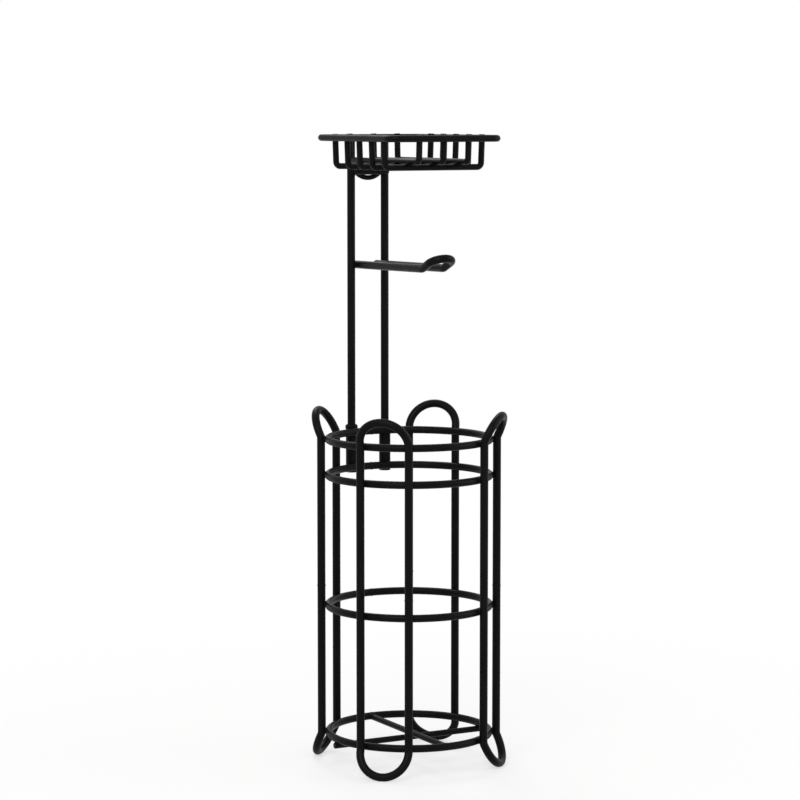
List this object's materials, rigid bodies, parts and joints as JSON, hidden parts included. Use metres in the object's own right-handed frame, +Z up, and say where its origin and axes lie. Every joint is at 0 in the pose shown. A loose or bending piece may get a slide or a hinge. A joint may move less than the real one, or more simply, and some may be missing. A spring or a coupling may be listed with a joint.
{
  "type": "toilet roll storage holder",
  "caption": "Free-standing black wire toilet roll holder: a round basket for spare rolls, a stand with a roll arm and a wire tray on top; the stand lifts out of sockets.",
  "frame": {"origin": "on the floor under the middle of the holder's bounding box, 4.7 mm behind the axis of the basket", "axes": "+Z up, -Y to the front where the roll arm points, +X to the right as seen from the front"},
  "size_m": [0.1666, 0.1759, 0.6213],
  "materials": {
    "black_coat": "satin"
  },
  "bodies": {
    "basket": {"upright_loop_rear_right": "black_coat", "upright_loop_rear_left": "black_coat", "upright_loop_front_left": "black_coat", "upright_loop_front_right": "black_coat", "base_ring": "black_coat", "middle_ring": "black_coat", "upper_ring": "black_coat", "top_ring": "black_coat", "floor_cross_wire": "black_coat", "floor_long_wire": "black_coat", "socket_left": "black_coat", "socket_right": "black_coat"},
    "stand": {"rod_left": "black_coat", "rod_right": "black_coat", "stop_collar_left": "black_coat", "stop_collar_right": "black_coat", "roll_arm": "black_coat", "rod_spreader": "black_coat", "tray_brace": "black_coat", "tray_rim": "black_coat", "tray_cross_wire_1": "black_coat", "tray_cross_wire_2": "black_coat", "tray_cross_wire_3": "black_coat", "tray_cross_wire_4": "black_coat", "tray_cross_wire_5": "black_coat", "tray_long_wire_1": "black_coat", "tray_long_wire_2": "black_coat", "tray_long_wire_3": "black_coat"}
  },
  "joints": [
    {"name": "stand_lift", "type": "slide", "parent": "basket", "child": "stand", "axis": [0, 0, 1], "range_m": [0, 0.045]}
  ]
}
